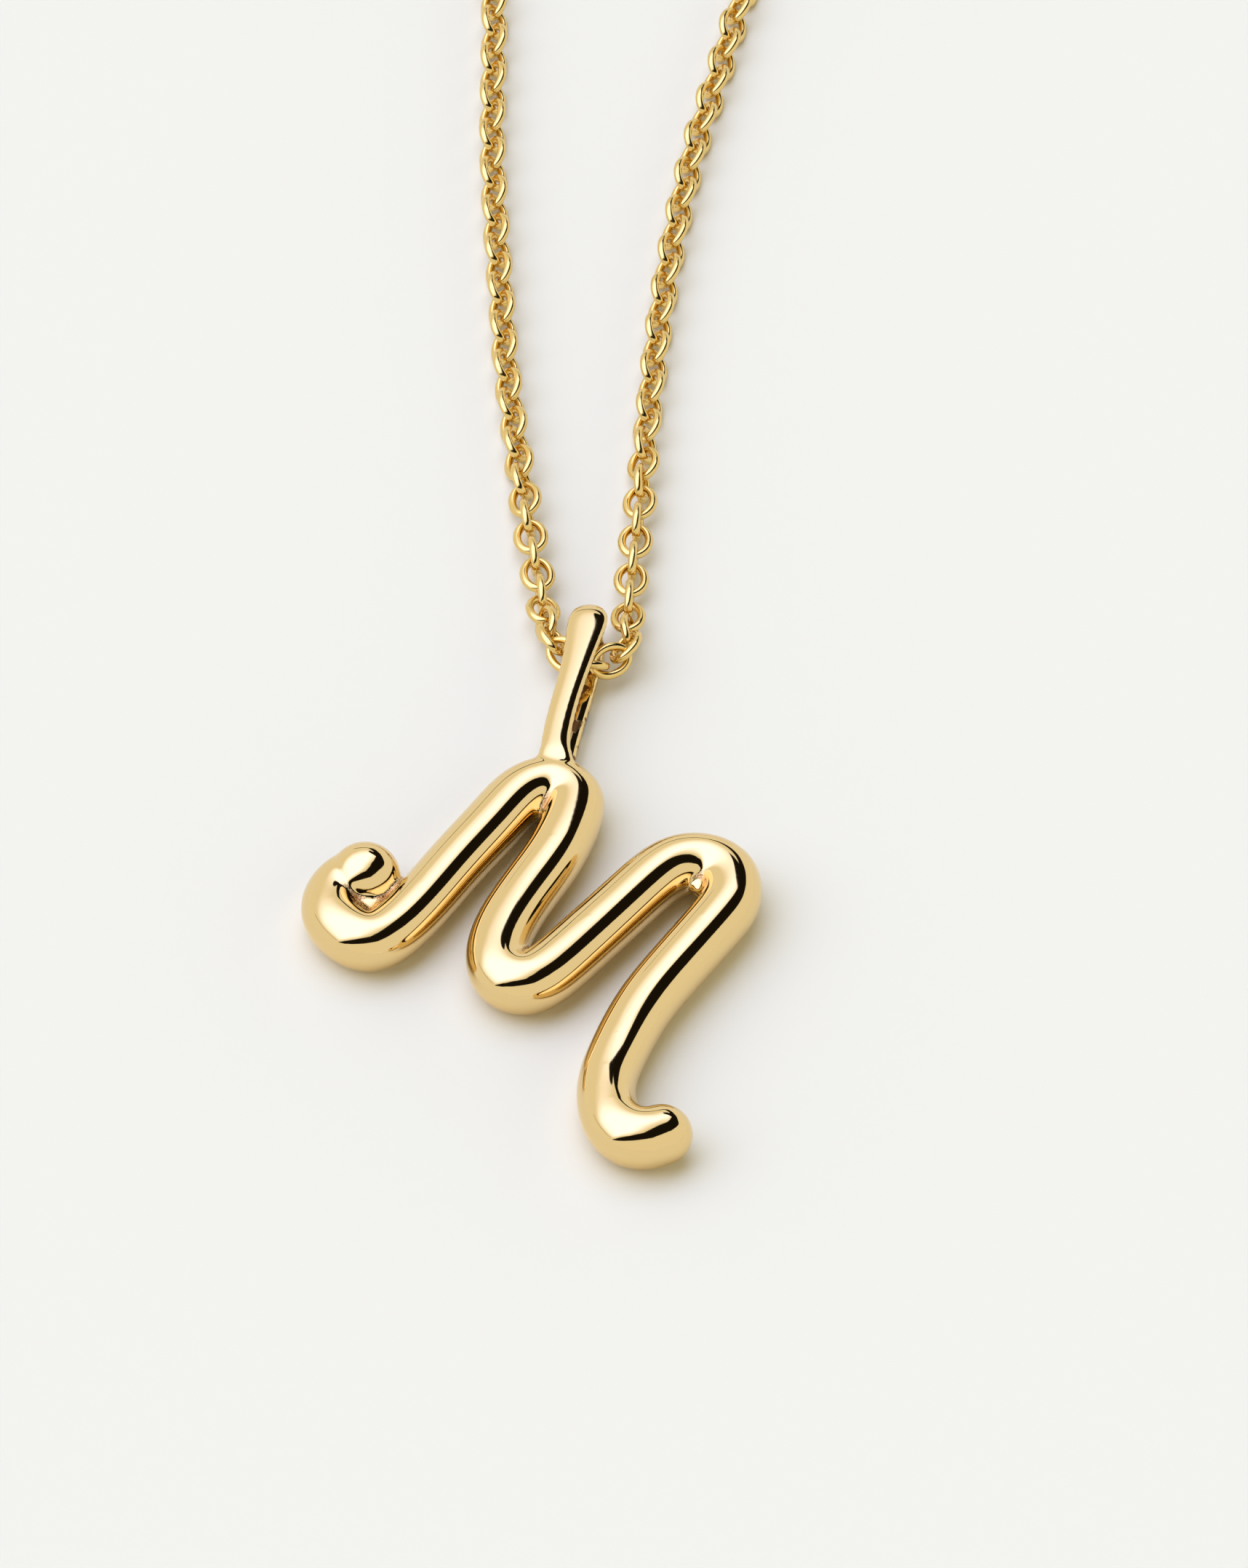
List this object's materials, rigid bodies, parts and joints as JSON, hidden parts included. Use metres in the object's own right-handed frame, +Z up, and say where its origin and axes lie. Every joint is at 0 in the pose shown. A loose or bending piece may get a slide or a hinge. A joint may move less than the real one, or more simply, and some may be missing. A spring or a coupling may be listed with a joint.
{
  "type": "initial pendant",
  "caption": "Polished gold initial bent from one round stroke, with a long soldered bail on a fine cable chain necklace closed by a ring clasp, lying flat.",
  "frame": {"origin": "on the surface that everything lies on, under the middle of the necklace laid out in its loop", "axes": "+Z up from the surface, +Y from the initial towards the clasp, +X to the right as the initial is read"},
  "size_m": [0.1004, 0.1865, 0.0035],
  "materials": {
    "polished_gold": "mirror-polished yellow gold, grainy in the tight bends",
    "chain_gold": "bright yellow gold wire"
  },
  "bodies": {
    "root": {"pendant": "polished_gold", "chain_front": "chain_gold", "chain_back": "chain_gold", "clasp": "chain_gold"}
  },
  "joints": []
}
